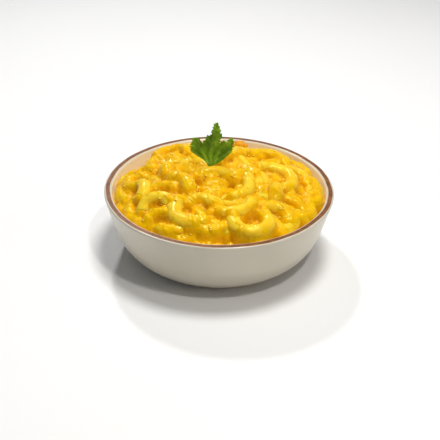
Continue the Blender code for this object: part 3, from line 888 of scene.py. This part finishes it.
class Finish:
    """A material under construction: short names for the nodes that it is wired from."""

    def __init__(self, name):
        self.material = bpy.data.materials.new(name)
        self.material.use_nodes = True
        self.tree = self.material.node_tree
        self.shader = self.tree.nodes["Principled BSDF"]

    def node(self, kind, **settings):
        made = self.tree.nodes.new(kind)
        for key, value in settings.items():
            setattr(made, key, value)
        return made

    def link(self, source, target):
        self.tree.links.new(source, target)

    def fixed(self, **sockets):
        for key, value in sockets.items():
            self.shader.inputs[key.replace("_", " ")].default_value = value

    def place(self):
        return self.node("ShaderNodeTexCoord").outputs["Object"]

    def value(self, name):
        return self.node("ShaderNodeAttribute", attribute_name=name).outputs["Fac"]

    def noise(self, size_mm, detail=2.0, roughness=0.5, distortion=0.0):
        made = self.node("ShaderNodeTexNoise")
        made.inputs["Scale"].default_value = 1000.0 / size_mm
        made.inputs["Detail"].default_value = detail
        made.inputs["Roughness"].default_value = roughness
        made.inputs["Distortion"].default_value = distortion
        self.link(self.place(), made.inputs["Vector"])
        return made.outputs["Fac"]

    def math(self, kind, *items):
        made = self.node("ShaderNodeMath", operation=kind)
        for slot, item in enumerate(items):
            if isinstance(item, (int, float)):
                made.inputs[slot].default_value = item
            else:
                self.link(item, made.inputs[slot])
        return made.outputs[0]

    def span(self, value, low, high, to_low=0.0, to_high=1.0):
        made = self.node("ShaderNodeMapRange", clamp=True)
        self.link(value, made.inputs["Value"])
        for key, number in (("From Min", low), ("From Max", high), ("To Min", to_low),
                            ("To Max", to_high)):
            made.inputs[key].default_value = number
        return made.outputs["Result"]

    def mix(self, share, a, b):
        made = self.node("ShaderNodeMix", data_type="RGBA")
        self.link(share, made.inputs["Factor"])
        for slot, item in ((6, a), (7, b)):
            if isinstance(item, tuple):
                made.inputs[slot].default_value = item + (1.0,)
            else:
                self.link(item, made.inputs[slot])
        return made.outputs[2]

    def over(self, base, where, low, high, most, colour):
        """Lays a colour over the base, up to most of it, as a value rises from low to high."""
        return self.mix(self.span(where, low, high, 0.0, most), base, colour)

    def colour(self, source):
        self.link(source, self.shader.inputs["Base Color"])

    def roughness(self, source):
        self.link(source, self.shader.inputs["Roughness"])

    def bump(self, height, distance_mm, strength=1.0, under=None):
        made = self.node("ShaderNodeBump")
        made.inputs["Strength"].default_value = strength
        made.inputs["Distance"].default_value = distance_mm * MM
        self.link(height, made.inputs["Height"])
        if under is not None:
            self.link(under, made.inputs["Normal"])
        self.link(made.outputs["Normal"], self.shader.inputs["Normal"])
        return made.outputs["Normal"]


PALE_PASTA = (0.88, 0.61, 0.034)
SAUCE_LIGHT = (0.86, 0.51, 0.002)
SAUCE_YELLOW = (0.83, 0.44, 0.001)
# Amber of sauce lying thick, also used as painted shade in hollows and deep gaps
SAUCE_AMBER_AND_SHADE = (0.60, 0.25, 0.001)
SAUCE_ORANGE = (0.76, 0.34, 0.001)
FOOD_SCATTER = (1.0, 0.70, 0.05)
WET_TINT = (1.0, 0.88, 0.25, 1.0)


def cheese_finish():
    """Melted cheese: bright yellow, paler where thin, and amber in the hollows, partly from sauce
    lying thick there and partly painted shade in the creases between elbows.
    """
    f = Finish("melted_cheese")
    thick, hollow = f.value("thick"), f.value("hollow")
    broad = f.noise(20.0, 3.0)
    blotch = f.noise(6.0, 3.0, 0.6, 0.5)
    fine = f.noise(2.0, 3.0, 0.6, 0.6)
    crest = f.span(f.math("ADD", hollow, f.math("MULTIPLY", thick, 0.5)), -0.55, 0.05)
    base = f.mix(crest, SAUCE_LIGHT, SAUCE_YELLOW)
    # Painted shade: the hollows between elbows are darkened towards amber, where shade falls
    base = f.over(base, hollow, 0.05, 0.85, 0.95, SAUCE_AMBER_AND_SHADE)
    base = f.over(base, broad, 0.54, 0.70, 0.4, SAUCE_ORANGE)
    base = f.over(base, blotch, 0.56, 0.72, 0.55, SAUCE_LIGHT)
    base = f.over(base, fine, 0.60, 0.78, 0.5, PALE_PASTA)
    f.colour(base)
    f.roughness(f.span(blotch, 0.35, 0.60, 0.08, 0.24))
    lumps = f.bump(f.noise(3.4, 2.0, 0.5, 0.4), 0.70, 0.7)
    f.bump(f.noise(1.1, 3.0, 0.6), 0.16, 0.8, lumps)
    f.fixed(Subsurface_Weight=0.40, Subsurface_Scale=0.0020, Subsurface_Radius=FOOD_SCATTER,
            IOR=1.45, Specular_IOR_Level=0.38, Specular_Tint=WET_TINT)
    return f.material


def pasta_finish():
    """Cooked pasta under a film of sauce: pale cream yellow, with faint fine blotches."""
    f = Finish("cooked_pasta")
    bare, bore, sunk = f.value("bare"), f.value("bore"), f.value("sunk")
    broad = f.noise(12.0, 3.0)
    fine = f.noise(2.2, 3.0, 0.6, 0.8)
    film = f.math("ADD", f.math("MULTIPLY", bare, 1.1), f.span(broad, 0.35, 0.65, -0.60, 0.20))
    base = f.mix(f.span(film, 0.1, 0.8), SAUCE_YELLOW, PALE_PASTA)
    base = f.over(base, fine, 0.55, 0.8, 0.5, SAUCE_LIGHT)
    # Painted shade: pasta lying deep below the sauce's top, down in the gaps, is darkened to amber
    base = f.over(base, sunk, 0.3, 0.9, 1.0, SAUCE_AMBER_AND_SHADE)
    # Painted shade: the inside of the bore at each open end is darkened to a deep brown
    base = f.mix(f.math("MULTIPLY", bore, 0.9), base, (0.50, 0.17, 0.004))
    f.colour(base)
    f.roughness(f.span(fine, 0.3, 0.7, 0.08, 0.20))
    wrinkles = f.bump(f.noise(2.6, 2.0, 0.5, 0.4), 0.45, 0.7)
    f.bump(f.noise(0.9, 2.0, 0.6), 0.05, 0.8, wrinkles)
    f.fixed(Subsurface_Weight=0.45, Subsurface_Scale=0.0024, Subsurface_Radius=FOOD_SCATTER,
            IOR=1.45, Specular_IOR_Level=0.38, Specular_Tint=WET_TINT)
    return f.material


def crumb_finish():
    """Wet crumbs of cheese: bright yellow and glossy."""
    f = Finish("wet_cheese")
    broad = f.noise(5.0, 2.0)
    f.colour(f.mix(f.span(broad, 0.35, 0.65), (0.92, 0.56, 0.010), (0.96, 0.68, 0.06)))
    f.fixed(IOR=1.45, Roughness=0.10, Specular_IOR_Level=0.38)
    return f.material


def bit_finish():
    """Cheese that has melted and browned a little: deep orange yellow."""
    f = Finish("browned_cheese")
    blotch = f.noise(2.5, 3.0)
    f.colour(f.mix(f.span(blotch, 0.40, 0.62), (0.80, 0.27, 0.002), (0.82, 0.40, 0.003)))
    f.roughness(f.span(blotch, 0.3, 0.7, 0.2, 0.4))
    f.bump(f.noise(1.6, 3.0), 0.35, 0.6)
    f.fixed(Subsurface_Weight=0.2, Subsurface_Scale=0.0015, Subsurface_Radius=FOOD_SCATTER,
            IOR=1.45, Specular_IOR_Level=0.3)
    return f.material


def glaze_finish():
    """Cream glaze with a brown line painted by hand round the rim, and a bare clay foot."""
    f = Finish("cream_glaze")
    split = f.node("ShaderNodeSeparateXYZ")
    f.link(f.place(), split.inputs[0])
    x, y, z = split.outputs
    radius = f.math("SQRT", f.math("ADD", f.math("MULTIPLY", x, x), f.math("MULTIPLY", y, y)))
    waver = f.span(f.noise(16.0, 2.0), 0.3, 0.7, -0.25 * MM, 0.25 * MM)
    at = f.math("ADD", radius, waver)
    line = f.math("MULTIPLY", f.span(at, 71.1 * MM, 71.4 * MM),
                  f.span(at, 73.8 * MM, 74.1 * MM, 1.0, 0.0))
    line = f.math("MULTIPLY", line, f.span(z, 44.8 * MM, 45.3 * MM))
    speck = f.noise(1.1, 2.0)
    broad = f.noise(30.0, 3.0)
    # Painted shade: the outer glaze is painted darker than its own cream, as the shaded copy of it
    cream = f.mix(f.span(broad, 0.35, 0.65), (0.58, 0.535, 0.43), (0.62, 0.57, 0.46))
    cream = f.over(cream, speck, 0.70, 0.76, 0.25, (0.45, 0.36, 0.24))
    # Painted shade: the outer wall is darkened from 24 mm up down to the foot
    cream = f.mix(f.span(z, 2.0 * MM, 24.0 * MM, 0.65, 0.0), cream, (0.38, 0.34, 0.27))
    # Painted light: the inside is the lit copy of the same glaze, lighter and yellower with painted
    # bounce light from the cheese
    cream = f.mix(f.value("within"), cream, (0.86, 0.78, 0.60))
    streak = f.noise(5.0, 3.0)
    brown = f.mix(f.span(streak, 0.35, 0.65), (0.155, 0.058, 0.022), (0.26, 0.105, 0.040))
    body = f.mix(line, cream, brown)
    clay = f.span(z, 0.4 * MM, 0.9 * MM, 1.0, 0.0)
    body = f.mix(clay, body, (0.52, 0.40, 0.28))
    f.colour(body)
    f.roughness(f.mix(clay, (0.30, 0.30, 0.30), (0.75, 0.75, 0.75)))
    f.bump(f.noise(9.0, 2.0), 0.12, 0.35)
    f.fixed(Coat_Weight=0.15, Coat_Roughness=0.16, IOR=1.45)
    return f.material


def leaf_finish():
    """Parsley: deep green blade, lighter at the veins, yellower in broad patches and with pale
    streaks.
    """
    f = Finish("parsley_green")
    vein = f.value("vein")
    broad = f.noise(9.0, 3.0)
    fine = f.noise(1.4, 3.0, 0.6)
    streak = f.math("MULTIPLY", f.value("streak"), f.span(broad, 0.35, 0.60, 0.25, 0.9))
    base = f.mix(f.span(broad, 0.35, 0.65), (0.070, 0.175, 0.003), (0.140, 0.290, 0.004))
    base = f.mix(streak, base, (0.25, 0.46, 0.016))
    base = f.over(base, fine, 0.48, 0.75, 0.55, (0.030, 0.095, 0.004))
    base = f.mix(f.math("MULTIPLY", vein, 0.40), base, (0.27, 0.40, 0.05))
    f.colour(base)
    f.roughness(f.span(fine, 0.3, 0.7, 0.38, 0.55))
    f.bump(f.noise(0.9, 2.0), 0.10, 0.6)
    f.fixed(Subsurface_Weight=0.12, Subsurface_Scale=0.001, Subsurface_Radius=(0.5, 1.0, 0.2),
            IOR=1.4, Specular_IOR_Level=0.3)
    return f.material


def floor_finish():
    f = Finish("pale_floor")
    f.colour(f.mix(f.span(f.noise(400.0, 2.0), 0.3, 0.7), (0.86, 0.86, 0.86), (0.89, 0.89, 0.89)))
    f.fixed(Roughness=0.8)
    return f.material


# ---- stage

def studio_floor():
    """Wide pale floor that curves up into a backdrop all round: height from a quarter circle."""
    segments, rows = 96, 24
    turn = np.arange(segments) * 2.0 * math.pi / segments
    flat, bend, tall = 2600.0, 900.0, 1500.0
    quarter = np.linspace(0.0, math.pi / 2.0, rows)
    r = np.concatenate([[400.0, 1200.0], flat + bend * np.sin(quarter), [flat + bend]])
    z = np.concatenate([[0.0, 0.0], bend * (1.0 - np.cos(quarter)), [bend + tall]])
    points = turned(r[:, None], turn, z[:, None]).reshape(-1, 3)
    quads = ring_quads(len(r), segments)
    points = np.concatenate([points, [(0.0, 0.0, 0.0)]])
    centre = fan(len(points) - 1, 0, segments, True)
    return add_mesh("studio_floor", points, quads, centre)


def area_light(name, place, aim, size, power, colour=(1.0, 1.0, 1.0)):
    data = bpy.data.lights.new(name, "AREA")
    data.shape = "DISK"
    data.size = size
    data.energy = power
    data.color = colour
    light = bpy.data.objects.new(name, data)
    light.location = place
    light.rotation_euler = (Vector(aim) - Vector(place)).to_track_quat("-Z", "Y").to_euler()
    bpy.context.scene.collection.objects.link(light)


def studio_light():
    aim = (0.0, 0.0, 0.04)
    area_light("overhead", (0.12, 0.04, 1.08), aim, 0.30, 7.2, (1.0, 0.985, 0.96))
    area_light("side_warm", (0.75, -0.45, 0.40), aim, 0.35, 0.9, (1.0, 0.90, 0.74))
    area_light("glint_back", (-0.20, 0.60, 0.75), aim, 0.08, 2.9)
    area_light("glint_front", (0.25, -0.40, 0.95), aim, 0.08, 2.3, (1.0, 0.97, 0.93))
    world = bpy.data.worlds.new("studio")
    bpy.context.scene.world = world
    world.use_nodes = True
    back = world.node_tree.nodes["Background"]
    back.inputs["Color"].default_value = (0.92, 0.96, 1.0, 1.0)
    back.inputs["Strength"].default_value = 0.18


def served_side_camera():
    """Camera at the served side, 31 degrees up, turned a degree about its own axis."""
    rise = math.radians(31.37)
    roll = math.radians(1.11)
    distance = 0.560
    target = Vector((0.00099, 0.0, 0.0199))
    forward = Vector((0.0, math.cos(rise), -math.sin(rise)))
    right = Vector((1.0, 0.0, 0.0))
    up = right.cross(forward)
    turned_right = right * math.cos(roll) + up * math.sin(roll)
    turned_up = up * math.cos(roll) - right * math.sin(roll)
    data = bpy.data.cameras.new("camera")
    data.sensor_width = 36.0
    data.lens = 68.09
    data.clip_start = 0.01
    camera = bpy.data.objects.new("camera", data)
    place = target - forward * distance
    axes = Matrix((turned_right, turned_up, -forward)).transposed()
    camera.matrix_world = Matrix.Translation(place) @ axes.to_4x4()
    bpy.context.scene.collection.objects.link(camera)
    bpy.context.scene.camera = camera


# ---- build

def finish_piece(piece, material, slot, *nodes):
    piece.data.materials.append(material)
    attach(piece, "root")
    if nodes:
        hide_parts(*nodes)


served_side_camera()
studio_light()
floor = studio_floor()
floor.data.materials.append(floor_finish())
bpy.context.scene.view_settings.view_transform = "Standard"

finish_piece(turned_bowl(), glaze_finish(), "bowl_glaze", "bowl")
elbow_list, heap_map = heap_of_elbows()
sauce, sauce_level = cheese_sauce(heap_map, elbow_list)
finish_piece(sauce, cheese_finish(), "mac_and_cheese", "mac_and_cheese")
finish_piece(macaroni(elbow_list, sauce_level), pasta_finish(), "mac_and_cheese")
finish_piece(cheese_crumbs(sauce_level), crumb_finish(), "mac_and_cheese")
finish_piece(cheese_bits(sauce_level), bit_finish(), "mac_and_cheese")
finish_piece(parsley_leaf(), leaf_finish(), "parsley", "parsley")
